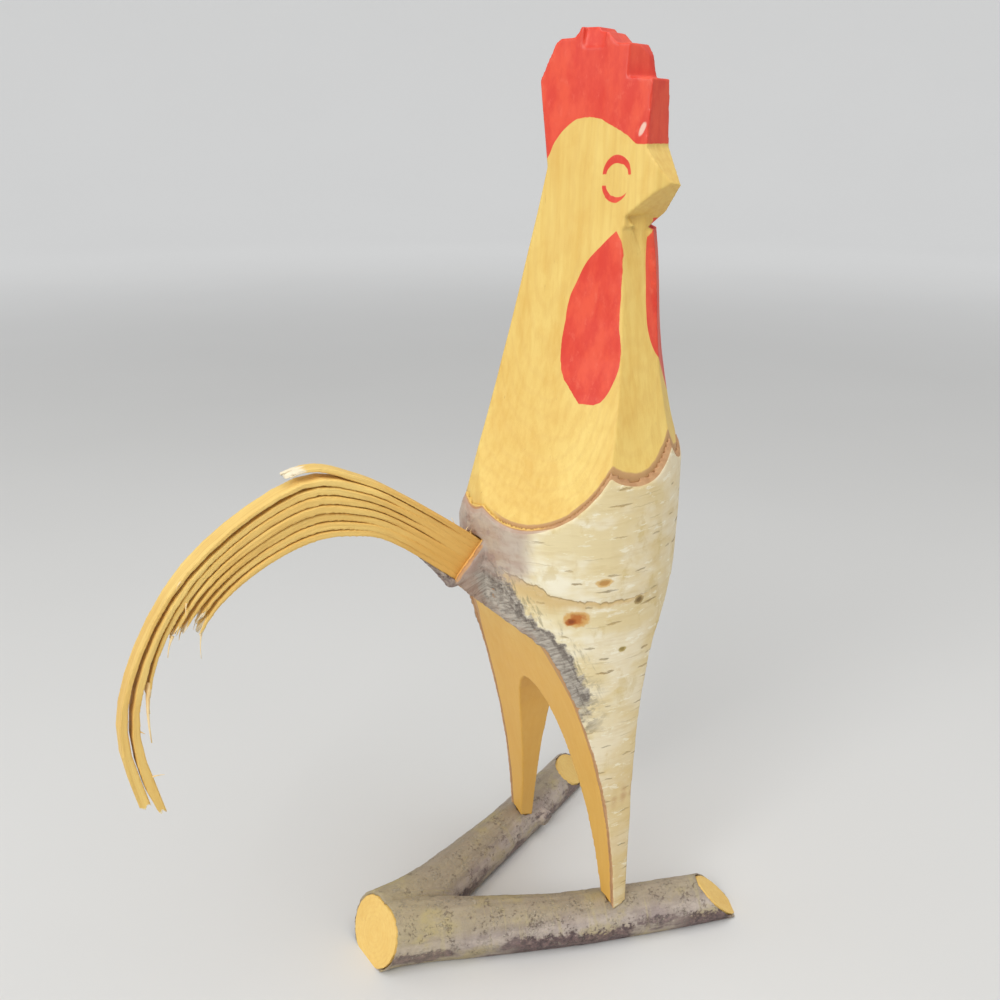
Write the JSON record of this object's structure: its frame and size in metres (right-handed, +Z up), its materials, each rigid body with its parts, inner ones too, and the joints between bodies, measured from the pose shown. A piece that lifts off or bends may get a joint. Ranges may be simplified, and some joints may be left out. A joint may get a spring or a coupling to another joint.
{
  "type": "carved wooden rooster figurine",
  "caption": "Folk-style rooster ornament whittled from a birch log, with bark left on the body, an arched splint tail and a forked twig as its base.",
  "frame": {"origin": "middle of the bounding box's underside, on the table", "axes": "+X the way the bird walks, away from its tail; +Y its left side; +Z up along the log"},
  "size_m": [0.2024, 0.1142, 0.2995],
  "materials": {
    "birch_wood": "carved, with painted red areas",
    "splint_wood": "split, raw",
    "birch_bark": "natural bark",
    "twig_wood": "cut, raw",
    "twig_bark": "natural bark"
  },
  "bodies": {
    "root": {"fork_wood": "twig_wood", "fork_bark": "twig_bark", "carved_log": "birch_wood", "trunk_bark": "birch_bark", "tail_splint_1": "splint_wood", "tail_splint_2": "splint_wood", "tail_splint_3": "splint_wood", "tail_splint_4": "splint_wood", "tail_splint_5": "splint_wood", "tail_splint_6": "splint_wood", "tail_splint_7": "splint_wood", "tail_splint_8": "splint_wood"}
  },
  "joints": []
}
